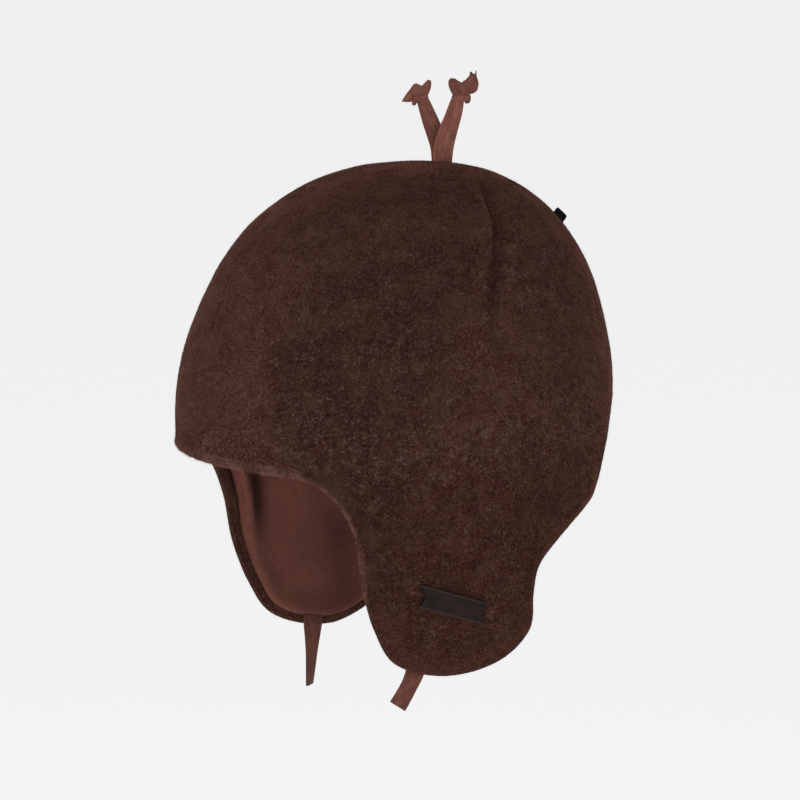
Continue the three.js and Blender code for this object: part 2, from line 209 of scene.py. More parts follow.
def dart_place(points):
    """How far behind the dart's line points lie, and how strong the dart is at their height."""
    behind = points[..., 1] - read_off(DART_LINE, np.abs(points[..., 0]))
    strength = smooth_step(points[..., 2], *DART_LOW) * (1 - smooth_step(points[..., 2], *DART_HIGH))
    return behind, strength


def dart_depth(points):
    behind, strength = dart_place(points)
    return strength * sum(depth * bell(behind + ahead, spread) for depth, spread, ahead in DART_FOLDS)


def unevenness(points, side):
    total = np.zeros(points.shape[:-1])
    flat = points.reshape(-1, 3) * [side, 1, 1]
    for size, height in UNEVEN:
        lumps = [noise.noise(Vector(point) / size) for point in flat]
        total += height * np.reshape(lumps, total.shape)
    return total


def cloth_point(azimuth, way, depth, side=1):
    """Points inside the cloth, at a depth below its outer face, on the left (1) or right (-1)."""
    points = form_point(azimuth, way)
    groove = SEAM["depth"] * bell(points[..., 0], SEAM["spread"])
    groove = groove * smooth_step(points[..., 1], *SEAM["starts"])
    inward = depth + dart_depth(points) + groove - unevenness(points, side)
    return points - form_normal(azimuth, way) * inward[..., None]


# %% [markdown]
# The lower edge
#
# The outline of brow, flap and nape is what makes this hat. It is one smooth curve through a short
# table: the azimuth and height of the edge, and the azimuth at the widest level from which the
# grain of the cloth runs down to it. A place near the edge is then a share of the way round it
# and a distance in from it, which is how a hem is measured.

# %% The edge's table, as one smooth curve
EDGE = np.array([
    # crown azimuth, azimuth, height in mm
    (0, 0, -17.2),
    (31, 26.4, -17.8),
    (49.5, 43.2, -21),
    (57, 51, -31.5),
    (62.5, 55.6, -46.6),
    (67.5, 57.7, -64.6),
    (72, 61.9, -84),
    (77, 68.7, -101),
    (83.5, 81.6, -108.5),
    (90, 104, -102.7),
    (95.5, 115.4, -92.5),
    (102, 110.4, -76),
    (109.5, 109.5, -64),
    (120, 118.3, -53.8),
    (138, 134.1, -45),
    (157.5, 154.5, -40.5),
    (180, 180, -39.5),
])
# Each flap hangs a little its own way: its bottom swings back by some degrees, and its back corner
# is lifted by so much for each degree behind the flap's middle
HANG = {"middle": 85, "heights": (45 * MM, 100 * MM)}
OWN_HANG = {1: {"swing": 0.4, "lift": 0.0}, -1: {"swing": -0.7, "lift": 0.16 * MM}}
CURVE_STEPS = 60
SHARE_STEP = 0.0008


def blend(a, b, start, end, spot):
    return ((end - spot) * a + (spot - start) * b) / (end - start)


def smooth_curve(rows):
    """A centripetal Catmull-Rom curve: its points, and how far along it each one is, from 0 to 1."""
    padded = np.vstack([2 * rows[0] - rows[1], rows, 2 * rows[-1] - rows[-2]])
    points = []
    for index in range(len(rows) - 1):
        corner = padded[index:index + 4]
        knot = np.concatenate([[0], np.cumsum(np.linalg.norm(np.diff(corner, axis=0), axis=1) ** 0.5)])
        spot = np.linspace(knot[1], knot[2], CURVE_STEPS, endpoint=False)[:, None]
        one = [blend(corner[i], corner[i + 1], knot[i], knot[i + 1], spot) for i in range(3)]
        two = [blend(one[i], one[i + 1], knot[i], knot[i + 2], spot) for i in range(2)]
        points.append(blend(two[0], two[1], knot[1], knot[2], spot))
    points = np.vstack(points + [rows[-1:]])
    length = np.concatenate([[0], np.cumsum(np.linalg.norm(np.diff(points, axis=0), axis=1))])
    return points, length / length[-1]


edge_points, edge_shares = smooth_curve(EDGE)


def edge_at(share):
    """Crown azimuth, azimuth and height of the edge, for shares of the way round it."""
    return np.stack([np.interp(share, edge_shares, column) for column in edge_points.T], -1)


def round_speed(azimuth, way):
    """Metres round the form for one degree of azimuth."""
    return np.linalg.norm(round_step(azimuth, way), axis=-1)


def edge_place(share, from_edge, side):
    """Crown azimuth, azimuth and way of places a distance in from one half's edge."""
    share = np.asarray(share, float)
    crown, azimuth, height = np.moveaxis(edge_at(share), -1, 0)
    run = edge_at(np.clip(share + SHARE_STEP, 0, 1)) - edge_at(np.clip(share - SHARE_STEP, 0, 1))
    speed = round_speed(azimuth, 1 - height * MM / TAPER_DEPTH)
    run_round = run[..., 1] * speed
    run_up = np.where((share <= 0) | (share >= 1), 0, run[..., 2] * MM)
    length = np.hypot(run_round, run_up)
    azimuth = azimuth - run_up / length * from_edge / speed
    height = height * MM + run_round / length * from_edge
    hanging = smooth_step(-height, *HANG["heights"])
    height = height + hanging * OWN_HANG[side]["lift"] * np.maximum(azimuth - HANG["middle"], 0)
    azimuth = azimuth + hanging * OWN_HANG[side]["swing"]
    return crown, azimuth, 1 - height / TAPER_DEPTH


print("edge rows:", len(EDGE), "points on the curve:", len(edge_points))

# %% [markdown]
# Turning a grid into cloth
#
# A flat pattern piece becomes a hat when it is bent to shape, so each half starts as a flat grid,
# its columns side by side round the edge and its rows running down from the crown. The points are
# then moved to their places on the form. The grid runs down the outside, round the hem and up the
# inside, so one grid gives a closed wall of the right thickness without any joining afterwards.

# %% Grid helpers
FLEECE = 3 * MM
LINING = 1 * MM
LINING_START = FLEECE + GAP + 0.05 * MM
LINING_EDGE = 4.8 * MM
# The lining starts further in where the flap leaves the brow, and nearer the edge under the flap:
# share of the way round, and distance
EDGE_WIDENS = np.array([
    (0.17, 0), (0.2, 3), (0.24, 3.1), (0.26, 2.6), (0.295, 1.1), (0.34, 0),
    (0.38, -0.8), (0.42, -1.5), (0.57, -1.3), (0.62, 0),
]) * [1, MM]
MERGE_DISTANCE = 0.01 * MM


def bent_grid(columns, rows, place):
    """A bmesh grid of columns by rows, with each point moved to place(column, row)."""
    bm = bmesh.new()
    bm.loops.layers.uv.new("surface")
    bmesh.ops.create_grid(bm, x_segments=columns, y_segments=rows, size=1, calc_uvs=True)
    spots = np.array([vertex.co[:2] for vertex in bm.verts]) / 2 + 0.5
    column = np.rint(spots[:, 0] * columns).astype(int)
    row = np.rint(spots[:, 1] * rows).astype(int)
    for vertex, point in zip(bm.verts, place(column, row)):
        vertex.co = point
    return bm


def close_up(bm):
    """Merges poles and joins, fills open ends flat, and turns every face outwards."""
    bmesh.ops.remove_doubles(bm, verts=bm.verts, dist=MERGE_DISTANCE)
    bmesh.ops.dissolve_degenerate(bm, edges=bm.edges, dist=MERGE_DISTANCE / 10)
    open_edges = [edge for edge in bm.edges if edge.is_boundary]
    for face in bmesh.ops.holes_fill(bm, edges=open_edges, sides=0)["faces"]:
        for edge in face.edges:
            edge.smooth = False
    bmesh.ops.recalc_face_normals(bm, faces=bm.faces)
    for face in bm.faces:
        face.smooth = True


def finished(bm, name, material, slot, *nodes):
    """Makes the bmesh a piece of the hat that stands for these CAD nodes."""
    mesh = bpy.data.meshes.new(name)
    bm.to_mesh(mesh)
    bm.free()
    mesh.materials.append(material)
    piece = placed(name, mesh)
    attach(piece, "root")
    if nodes:
        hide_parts(*nodes)
    print(name, "faces:", len(mesh.polygons))
    return piece


def cloth_rows(share, crown_rows, lower_rows, side, nearest=LINING_EDGE):
    """Azimuth and way of the rows of each column, from just below the crown to the lining's edge."""
    widened = np.maximum(LINING_EDGE + read_off(EDGE_WIDENS, share), nearest)
    crown, azimuth, way = edge_place(share, widened, side)
    upper = np.arange(1, crown_rows + 1) / crown_rows
    part = np.arange(1, lower_rows + 1) / lower_rows
    lower = crown[:, None] + (azimuth - crown)[:, None] * part ** 3
    azimuths = [np.repeat(crown[:, None], crown_rows, 1), lower]
    ways = [np.repeat(upper[None], len(share), 0), 1 + (way - 1)[:, None] * part]
    return np.hstack(azimuths), np.hstack(ways)


def half_of_cloth(columns, sections, side):
    """A closed half from sections of (azimuth, way, depth) arrays, one row of them for each column."""
    azimuth, way, depth = (np.hstack(part) for part in zip(*sections))
    top = np.zeros((columns + 1, 1))
    azimuth = np.hstack([top, azimuth, top])
    way = np.hstack([top, way, top])
    depth = np.hstack([depth[:, :1], depth, depth[:, -1:]])
    points = cloth_point(azimuth, way, depth, side)
    points[[0, -1], :, 0] = 0
    points[:, [0, -1], :2] = 0
    points = (points + [0, 0, WIDEST_LEVEL]) * [side, 1, 1]
    rows = azimuth.shape[1] - 1
    bm = bent_grid(columns, rows, lambda column, row: points[column, row])
    close_up(bm)
    return bm, rows

# %% [markdown]
# Node groups for cloth
#
# Wool, jersey, tape and leather all have a colour that drifts over a few centimetres, and is
# broken up again by fibres or grain. That could be painted anew in each material. One node group
# with named sockets does it once, and each material gives it its own colours and scales. It reads
# Object coordinates, so the pattern stays on the piece from any side.

# %% Helpers for node trees
def add_node(tree, kind, values=None, **settings):
    """A node with these settings, its sockets linked or set to these values."""
    node = tree.nodes.new(kind)
    for name, value in settings.items():
        setattr(node, name, value)
    for socket, value in (values or {}).items():
        if isinstance(value, bpy.types.NodeSocket):
            tree.links.new(value, node.inputs[socket])
        else:
            node.inputs[socket].default_value = value
    return node


def math_node(tree, operation, a, b=0.0):
    return add_node(tree, "ShaderNodeMath", {0: a, 1: b}, operation=operation).outputs[0]


def map_range(tree, value, low, high, to_low=0.0, to_high=1.0):
    values = {"Value": value, "From Min": low, "From Max": high, "To Min": to_low, "To Max": to_high}
    return add_node(tree, "ShaderNodeMapRange", values).outputs[0]


def mix_colour(tree, factor, a, b, blend_type="MIX"):
    values = {0: factor, 6: a, 7: b}
    return add_node(tree, "ShaderNodeMix", values, data_type="RGBA", blend_type=blend_type).outputs[2]


def noise_node(tree, vector, scale, detail=2.0, roughness=0.5, distortion=0.0):
    values = {"Vector": vector, "Scale": scale, "Detail": detail, "Roughness": roughness}
    values["Distortion"] = distortion
    return add_node(tree, "ShaderNodeTexNoise", values).outputs["Fac"]


def coordinates(tree, kind="Object"):
    return add_node(tree, "ShaderNodeTexCoord").outputs[kind]


def attribute(tree, name):
    return add_node(tree, "ShaderNodeAttribute", attribute_name=name).outputs["Fac"]


def new_group(name, inputs, outputs):
    """A node group whose sockets are named by their kind: Vector, Color or Float."""
    tree = bpy.data.node_groups.new(name, "ShaderNodeTree")
    for in_out, sockets in (("INPUT", inputs), ("OUTPUT", outputs)):
        for kind, names in sockets.items():
            for socket in names:
                tree.interface.new_socket(name=socket, in_out=in_out, socket_type="NodeSocket" + kind)
    print("node group:", name)
    return tree, tree.nodes.new("NodeGroupInput").outputs, tree.nodes.new("NodeGroupOutput").inputs


def srgb(red, green, blue):
    """A colour read as 0 to 255, as linear values."""
    parts = [part / 255 for part in (red, green, blue)]
    return [part / 12.92 if part <= 0.04045 else ((part + 0.055) / 1.055) ** 2.4 for part in parts] + [1.0]


def new_material(name, roughness, sheen=0.0, sheen_roughness=0.5, sheen_tint=(255, 255, 255), specular=0.5):
    material = bpy.data.materials.new(name)
    material.use_nodes = True
    shader = material.node_tree.nodes["Principled BSDF"]
    shader.inputs["Roughness"].default_value = roughness
    shader.inputs["Sheen Weight"].default_value = sheen
    shader.inputs["Sheen Roughness"].default_value = sheen_roughness
    shader.inputs["Sheen Tint"].default_value = srgb(*sheen_tint)
    shader.inputs["Specular IOR Level"].default_value = specular
    print("material:", name)
    return material, material.node_tree, shader


def bump(tree, shader, height, strength, distance):
    node = add_node(tree, "ShaderNodeBump", {"Height": height, "Strength": strength, "Distance": distance})
    tree.links.new(node.outputs["Normal"], shader.inputs["Normal"])


# %% The mottle group: drifting tone, clumps and fibres
TONES = ("Dark", "Middle", "Light", "Fibre")
SCALES = ("Patch Scale", "Clump Scale", "Fibre Scale")
mottle, ins, outs = new_group(
    "mottle",
    {"Vector": ["Vector"], "Color": TONES, "Float": (*SCALES, "Fibre Amount")},
    {"Color": ["Color"], "Float": ["Height"]},
)
patch = noise_node(mottle, ins["Vector"], ins["Patch Scale"], 2.0, 0.55, 0.4)
clump = noise_node(mottle, ins["Vector"], ins["Clump Scale"], 3.0, 0.6, 0.8)
thread = noise_node(mottle, ins["Vector"], ins["Fibre Scale"], 1.0, 0.5, 2.5)
ridge = math_node(mottle, "ABSOLUTE", math_node(mottle, "SUBTRACT", thread, 0.5))
line = map_range(mottle, ridge, 0.0, 0.03, 1.0, 0.0)
body = mix_colour(mottle, map_range(mottle, clump, 0.36, 0.62), ins["Dark"], ins["Middle"])
tone = mix_colour(mottle, map_range(mottle, patch, 0.42, 0.68), body, ins["Light"])
fibre_amount = math_node(mottle, "MULTIPLY", line, ins["Fibre Amount"])
mottle.links.new(mix_colour(mottle, fibre_amount, tone, ins["Fibre"]), outs["Color"])
mottle.links.new(math_node(mottle, "ADD", clump, math_node(mottle, "MULTIPLY", line, 0.5)), outs["Height"])


def mottled(tree, place, tones, scales, fibre_amount):
    """The mottle in four tones, dark to fibre, and three scales, patch to fibre."""
    values = {"Vector": place, "Fibre Amount": fibre_amount, **dict(zip(SCALES, scales))}
    for name, tone in zip(TONES, tones):
        values[name] = srgb(*tone)
    return add_node(tree, "ShaderNodeGroup", values, node_tree=mottle).outputs

# %% The knit group: fine courses across and wales down
knit, ins, outs = new_group("knit", {"Float": ("Across", "Down", "Course", "Wale")}, {"Float": ["Height"]})


def ripple(tree, length, period):
    turn = math_node(tree, "DIVIDE", math_node(tree, "MULTIPLY", length, 2 * math.pi), period)
    return math_node(tree, "MULTIPLY", math_node(tree, "SINE", turn), 0.5)


courses = ripple(knit, ins["Down"], ins["Course"])
wales = ripple(knit, ins["Across"], ins["Wale"])
knit.links.new(math_node(knit, "ADD", courses, math_node(knit, "MULTIPLY", wales, 0.6)), outs["Height"])


def knit_height(tree, place, across, down, course=0.9 * MM, wale=0.7 * MM):
    """How high the knit stands, about -0.8 to 0.8, with wales across and courses down these axes."""
    axes = add_node(tree, "ShaderNodeSeparateXYZ", {"Vector": place}).outputs
    values = {"Across": axes[across], "Down": axes[down], "Course": course, "Wale": wale}
    return add_node(tree, "ShaderNodeGroup", values, node_tree=knit).outputs["Height"]

# %% [markdown]
# Fleece
#
# Wool fleece that has been felted and brushed: dark brown, mottled with red and olive fibres,
# without any gloss, and lighter where the nap is seen edge on. One noise could tint it, but then it
# would look like stained card. So the base colour carries the mottling, a fine bump the felt, and
# the shader's sheen the pale edge.

# %% Fleece material
WOOL_SHEEN = {"sheen": 0.5, "sheen_roughness": 0.22, "sheen_tint": (220, 146, 122)}
FELT_TONES = ((32, 14, 10), (54, 33, 27), (58, 40, 30), (96, 74, 67))
fleece, tree, shader = new_material("fleece", 1.0, specular=0.05, **WOOL_SHEEN)
coat = mottled(tree, coordinates(tree), FELT_TONES, (90.0, 1000.0, 1100.0), 0.35)
tree.links.new(coat["Color"], shader.inputs["Base Color"])
bump(tree, shader, coat["Height"], 0.8, 0.5 * MM)

# %% [markdown]
# The shell
#
# Each half is felted wool about 3 mm thick, turned in along the edge, so the hem is a round roll a
# little thicker than the cloth. Solidify could thicken a sheet, but it would leave a square
# edge. Running the grid's rows round the hem's section gives the roll its true shape.

# %% Shell halves
SHELL_COLUMNS = 168
SHELL_ROWS = {"crown": 62, "lower": 56, "inner_lower": 26, "inner_crown": 20}
HEM = np.array([
    # distance from the edge, depth below the outer face, mm
    (4.0, 0),
    (2.6, 0.08),
    (1.5, 0.3),
    (0.8, 0.72),
    (0.3, 1.3),
    (0.05, 1.9),
    (0, 2.5),
    (0.1, 3.2),
    (0.4, 3.8),
    (0.85, 4.3),
    (1.5, 4.6),
    (2.4, 4.78),
    (3.5, 4.8),
    (4.0, FLEECE / MM),
]) * MM
# The felt lies this far inside the CAD face, so that the nap stands no further out than the cloth
NAP_ROOM = 0.35 * MM


def shell_half(side):
    share = np.linspace(0, 1, SHELL_COLUMNS + 1)
    outside = cloth_rows(share, SHELL_ROWS["crown"], SHELL_ROWS["lower"], side)
    hem = [edge_place(share, from_edge + NAP_ROOM, side)[1:] for from_edge in HEM[:, 0]]
    azimuth, way = (np.stack(part, 1) for part in zip(*hem))
    inside = cloth_rows(share, SHELL_ROWS["inner_crown"], SHELL_ROWS["inner_lower"], side)
    sections = [
        (*outside, np.full(outside[0].shape, NAP_ROOM)),
        (azimuth, way, np.repeat(np.maximum(HEM[None, :, 1], NAP_ROOM), len(share), 0)),
        (*(part[:, ::-1] for part in inside), np.full(inside[0].shape, FLEECE)),
    ]
    return half_of_cloth(SHELL_COLUMNS, sections, side)


shells = {}
for name, side in SIDES.items():
    bm, shell_rows = shell_half(side)
    shells[name] = finished(bm, name + "_shell", fleece, "fleece", name + "_shell_panel")
print("shell rows:", shell_rows)

# %% [markdown]
# The nap
#
# Brushed wool ends in thousands of short fibres that lie nearly flat, curl, and blur the edge. A
# particle system could grow them, but its hairs don't reach an exported mesh. So the fibres are
# blades of one triangle each, made as arrays and joined into a few meshes. Their colours are plain
# and run from near black to pale, picked by a noise as fine as a tuft, so that like fibres clump.

# %% Wool tones
WOOL_TONES = {
    "wool_black": (36, 15, 10),
    "wool_dark": (48, 26, 20),
    "wool_brown": (60, 36, 30),
    "wool_red": (74, 37, 32),
    "wool_olive": (60, 43, 29),
    "wool_grey": (76, 53, 47),
    "wool_pale": (98, 77, 70),
    "wool_rust": (112, 74, 63),
}
TONE = {name: index for index, name in enumerate(WOOL_TONES)}
wool = []
for name, tone in WOOL_TONES.items():
    material, tree, shader = new_material(name, 1.0, specular=0.03, **WOOL_SHEEN)
    shader.inputs["Base Color"].default_value = srgb(*tone)
    wool.append(material)

# %% Where fibres grow
OUTSIDE_ROWS = SHELL_ROWS["crown"] + SHELL_ROWS["lower"]
HEM_NAP_ROWS = 12
rng = np.random.default_rng(27)


def unit(vectors):
    return vectors / np.linalg.norm(vectors, axis=-1, keepdims=True)


def read(items, name, width, kind=np.float32):
    values = np.empty(len(items) * width, kind)
    items.foreach_get(name, values)
    return values.reshape(-1, width)


def nap_bed(shell):
    """The shell's outer triangles: corners, normals there, areas, and rows and columns as shares."""
    mesh = shell.data
    mesh.calc_loop_triangles()
    corners = read(mesh.loop_triangles, "vertices", 3, np.int32)
    loops = read(mesh.loop_triangles, "loops", 3, np.int32)
    points = read(mesh.vertices, "co", 3)[corners]
    normals = read(mesh.vertex_normals, "vector", 3)[corners]
    surface = read(mesh.uv_layers["surface"].data, "uv", 2)[loops].mean(1)
    across = np.cross(points[:, 1] - points[:, 0], points[:, 2] - points[:, 0])
    area = np.linalg.norm(across, axis=1) / 2
    outside = surface[:, 1] < (OUTSIDE_ROWS + HEM_NAP_ROWS) / shell_rows
    on_seam = np.abs(points[:, :, 0]).max(1) < 0.01 * MM
    keep = outside & ~on_seam
    return points[keep], normals[keep], area[keep], surface[keep]


def scattered(bed, share, count):
    """Random places on the bed, as thick as share says: the roots, the normals and the rows there."""
    points, normals, area, surface = bed
    weight = area * share
    face = rng.choice(len(area), size=count, p=weight / weight.sum())
    corner = rng.dirichlet((1, 1, 1), count)[:, :, None]
    facing = unit((normals[face] * corner).sum(1))
    return (points[face] * corner).sum(1), facing, surface[face, 1]


# %% Blades of fibre
NAP_WIDTH = 0.2 * MM
NAP_SUNK = 0.06 * MM
# The way that the nap is brushed, how it swirls, and how far single fibres stray
BRUSHED = np.array([0, 0.35, -1.0])
SWIRL = {"size": 9 * MM, "turn": math.radians(75), "stray": math.radians(45)}


def drift(points, size):
    return np.array([noise.noise(Vector(point) / size) for point in points])


def blades(name, roots, facing, length, lift, tones):
    """A piece of single-triangle fibres: lift is their angle to the cloth, tones their materials."""
    along = unit(BRUSHED - facing * (facing @ BRUSHED)[:, None])
    sideways = np.cross(facing, along)
    turn = SWIRL["turn"] * 2 * drift(roots, SWIRL["size"]) + rng.normal(0, SWIRL["stray"], len(roots))
    lie = along * np.cos(turn)[:, None] + sideways * np.sin(turn)[:, None]
    wide = np.cross(facing, lie) * NAP_WIDTH / 2
    tip = lie * np.cos(lift)[:, None] + facing * np.sin(lift)[:, None]
    roots = roots - facing * NAP_SUNK
    corners = np.stack([roots - wide, roots + wide, roots + tip * length[:, None]], 1)
    mesh = bpy.data.meshes.new(name)
    count = len(roots)
    mesh.vertices.add(count * 3)
    mesh.vertices.foreach_set("co", corners.astype(np.float32).ravel())
    mesh.loops.add(count * 3)
    mesh.loops.foreach_set("vertex_index", np.arange(count * 3, dtype=np.int32))
    mesh.polygons.add(count)
    mesh.polygons.foreach_set("loop_start", np.arange(count, dtype=np.int32) * 3)
    for material in wool:
        mesh.materials.append(material)
    mesh.polygons.foreach_set("material_index", tones.astype(np.int32))
    mesh.update(calc_edges=True)
    piece = placed(name, mesh)
    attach(piece, "root")
    print(name, "fibres:", count)


# %% Nap on both halves
NAP_COUNT = 150000
# Length in mm, lift in degrees, and how much shorter fibres are from two rows above the hem on
NAP_LENGTH = (0.7, 1.5)
NAP_LIFT = (3, 24)
SHORTER = {"rows": 2, "share": 0.6}
# Clumps of tone: how large, and how strong
CLUMPS = ((3.4 * MM, 0.72), (0.9 * MM, 2.25))
OWN_TONE = 0.4
# The flaps are a little less mottled than the crown, and darker with painted shade, in full this far down
FLAP = {"contrast": 0.95, "painted_shading": 0.52, "below": 40 * MM}
# Painted shade in the dart's fold and a painted highlight on the ridge ahead of it: how much, how wide, and
# how far ahead
DART_PAINTED_LIGHT = ((-2.3, 1.9 * MM, 0), (0.4, 2.4 * MM, 4.4 * MM))
LADDER = np.array([TONE["wool_" + name] for name in ("black", "dark", "brown", "grey", "pale")])
LADDER_STEPS = (-0.58, -0.1, 0.3, 0.72)
TINT = {"size": 7 * MM, "from": 0.24}


def fibre_tones(roots):
    """A tone for each root: clumps of dark and pale, with drifting patches of red and olive, painted shade
    on the flaps and in the dart's fold, and a painted highlight ahead of the fold.
    """
    tone = rng.normal(0, OWN_TONE, len(roots))
    for size, amount in CLUMPS:
        tone += amount * drift(roots, size)
    low = smooth_step(WIDEST_LEVEL - roots[:, 2], 0, FLAP["below"])
    tone *= 1 + (FLAP["contrast"] - 1) * low
    # Painted shade: the flaps' wool is darkened
    tone -= FLAP["painted_shading"] * low
    behind, strength = dart_place(roots - [0, 0, WIDEST_LEVEL])
    # Painted shade in the dart's fold and a painted highlight ahead of it
    for amount, spread, ahead in DART_PAINTED_LIGHT:
        tone += amount * strength * bell(behind + ahead, spread)
    tones = LADDER[np.searchsorted(LADDER_STEPS, tone)]
    hue = drift(roots, TINT["size"])
    plain = tones == TONE["wool_brown"]
    tones[plain & (hue > TINT["from"])] = TONE["wool_red"]
    tones[plain & (hue < -TINT["from"])] = TONE["wool_olive"]
    return tones


beds = {name: nap_bed(shell) for name, shell in shells.items()}
for name, bed in beds.items():
    upper = bed[0][:, :, 2].mean(1) > WIDEST_LEVEL
    for part, share in (("crown", upper), ("flap", ~upper)):
        roots, facing, down = scattered(bed, share, NAP_COUNT)
        length = rng.uniform(*NAP_LENGTH, NAP_COUNT) * MM
        length *= np.where(down > (OUTSIDE_ROWS - SHORTER["rows"]) / shell_rows, SHORTER["share"], 1)
        lift = np.radians(rng.uniform(*NAP_LIFT, NAP_COUNT))
        blades(f"{name}_{part}_nap", roots, facing, length, lift, fibre_tones(roots))

# %% Fuzz along the brow and down the front of the near flap, pale as a painted highlight
# Where the fuzz ends round the edge of each half, and how many fibres it has
FUZZ = {"left": (0.36, 10000), "right": (0.18, 3000)}
# Rows from the hem to the fuzz, a wider band over the brow: share of the way round, and rows
FUZZ_STARTS = np.array([(0.14, -0.6), (0.2, 3)])
# Rows and shares of the way round in which the fuzz thins out, and the size of its patches
FUZZ_FADES = {"rows": 4, "end": 0.03, "middle": 0.08}
FUZZ_PATCH = 3.2 * MM
FUZZ_LENGTH = (0.6, 1.6)
FUZZ_LIFT = (10, 55)
# The fuzz is real, but its pale and rust tones are a painted highlight of the light caught in it
FUZZ_HIGHLIGHT_TONES = {"wool_red": 0.2, "wool_pale": 0.45, "wool_rust": 0.35}
for name, (last, count) in FUZZ.items():
    bed = beds[name]
    around, down = bed[3].T
    past = down * shell_rows - (OUTSIDE_ROWS + read_off(FUZZ_STARTS, around))
    on_hem = (around < last) & (past > 0)
    around = around[on_hem]
    patchy = np.clip(0.5 + 1.5 * drift(bed[0][on_hem].mean(1), FUZZ_PATCH), 0.15, 1)
    patchy *= 0.25 + 0.75 * smooth_step(past[on_hem], 0, FUZZ_FADES["rows"])
    at_middle = 0.3 + 0.7 * smooth_step(around, 0, FUZZ_FADES["middle"])
    patchy *= smooth_step(around, last, last - FUZZ_FADES["end"]) * at_middle
    share = np.zeros(len(on_hem))
    share[on_hem] = patchy
    roots, facing, down = scattered(bed, share, count)
    tones = rng.choice([TONE[tone] for tone in FUZZ_HIGHLIGHT_TONES], size=count, p=list(FUZZ_HIGHLIGHT_TONES.values()))
    length = rng.uniform(*FUZZ_LENGTH, count) * MM
    lift = np.radians(rng.uniform(*FUZZ_LIFT, count))
    blades(f"{name}_edge_nap", roots, facing, length, lift, tones)

# %% [markdown]
# Jersey lining
#
# The lining is thin knitted jersey in a redder brown. It is a little larger than the shell, so it
# bulges in a soft roll just inside the edge and falls in again behind the roll. An even offset of
# the shell would lack the roll, which catches the light inside the far flap. So the roll is shaped
# in the mesh, and only the stitches of the knit are bump. The shade in the fold behind the roll, in
# the hollow at the back of each flap and towards the bottom is painted into the jersey's colour, as
# is the shade of the knit's low stitches.

# %% Jersey material
JERSEY_TONES = ((97, 55, 49), (108, 64, 57), (112, 69, 55), (134, 91, 81))
jersey, tree, shader = new_material("jersey", 0.9, 0.2, 0.4, (220, 150, 135), 0.15)
place = coordinates(tree)
cloth = mottled(tree, place, JERSEY_TONES, (60.0, 500.0, 900.0), 0.15)
weave = knit_height(tree, place, "Y", "Z")
# Painted shade: the knit's low stitches are darker and its high ones lighter
shade = map_range(tree, weave, -0.8, 0.8, 0.82, 1.12)
knitted = mix_colour(tree, 1.0, cloth["Color"], shade, "MULTIPLY")
# Painted shade: where the fold attribute says, the jersey is darkened towards a deep brown
with_painted_shade = mix_colour(tree, attribute(tree, "fold"), knitted, srgb(40, 17, 13))
tree.links.new(with_painted_shade, shader.inputs["Base Color"])
bump(tree, shader, weave, 0.5, 0.25 * MM)

# %% Lining halves
LINING_COLUMNS = 150
LINING_ROWS = {"crown": 40, "lower": 66}
ROLL = {"height": 4.0 * MM, "from_edge": 3.9 * MM, "spread": 3.1 * MM, "starts": 1.2 * MM}
HOLLOW = {"depth": 1.0 * MM, "from_edge": 12 * MM, "spread": 4.5 * MM, "deepest": 0.6 * LINING}
# How full the roll is round the edge: share of the way round, and fullness
ROLL_FULLNESS = np.array([
    (0, 0.2), (0.17, 0.35), (0.23, 1), (0.29, 1), (0.36, 0.6), (0.45, 0.5), (0.56, 0.4), (1, 0.15),
])
# How far the roll sags over the hem, for each millimetre that it stands in: most under the flap
ROLL_SAG = np.array([
    (0, 0.4), (0.24, 0.5), (0.29, 1.0), (0.36, 1.1), (0.44, 1.3), (0.56, 1.3), (0.62, 0.5), (1, 0.4),
])
# Painted shade in the fold behind the roll: where it runs at two heights, and where and how it fades
FOLD_SHADE = {"heights": (-62 * MM, -40 * MM), "from_edge": (10.2 * MM, 12.2 * MM), "spread": 4.8 * MM}
FOLD_SHARES = (0.18, 0.23, 0.33, 0.39)
FOLD_FADES = (-80 * MM, -50 * MM)
# Height in mm, and the painted shade there in the hollow at the back of each flap, and all over
SHADE_HEIGHTS = np.array([(-110, 0.32, 0.36), (-72, 0.5, 0.3), (-48, 0.08, 0.04), (-20, 0, 0.04)])
BACK_SPREAD = 13 * MM


def lining_swell(points, rim, share):
    """How far the lining stands in from its even place, near its edge."""
    swell = np.zeros(points.shape[:-1])
    for index, column in enumerate(points):
        gap = np.linalg.norm(column[:, None] - rim[None], axis=-1)
        fullness = read_off(ROLL_FULLNESS, share[gap.argmin(1)])
        off = gap.min(1)
        roll = ROLL["height"] * bell(off - ROLL["from_edge"], ROLL["spread"])
        hollow = HOLLOW["depth"] * bell(off - HOLLOW["from_edge"], HOLLOW["spread"])
        swell[index] = fullness * (roll - hollow) * np.clip(off / ROLL["starts"], 0, 1)
    return swell


def paint_lining_shade(bm, rim, share, side):
    """Stores the painted shade of each point of the lining, for the jersey's colour: in the fold behind the
    roll, in the hollow at the back of each flap, and towards the bottom.
    """
    layer = bm.verts.layers.float.new("fold")
    for vertex in bm.verts:
        point = np.array(vertex.co) * [side, 1, 1] - [0, 0, WIDEST_LEVEL]
        gap = np.linalg.norm(rim - point, axis=1)
        from_edge = np.interp(point[2], FOLD_SHADE["heights"], FOLD_SHADE["from_edge"])
        fold = np.interp(share[gap.argmin()], FOLD_SHARES, (0, 1, 1, 0))
        fold *= smooth_step(point[2], *FOLD_FADES) * bell(gap.min() - from_edge, FOLD_SHADE["spread"])
        back = read_off(SHADE_HEIGHTS, point[2] / MM, 1) * bell(point[1], BACK_SPREAD)
        low = read_off(SHADE_HEIGHTS, point[2] / MM, 2)
        vertex[layer] = 1 - (1 - fold) * (1 - back) * (1 - low)


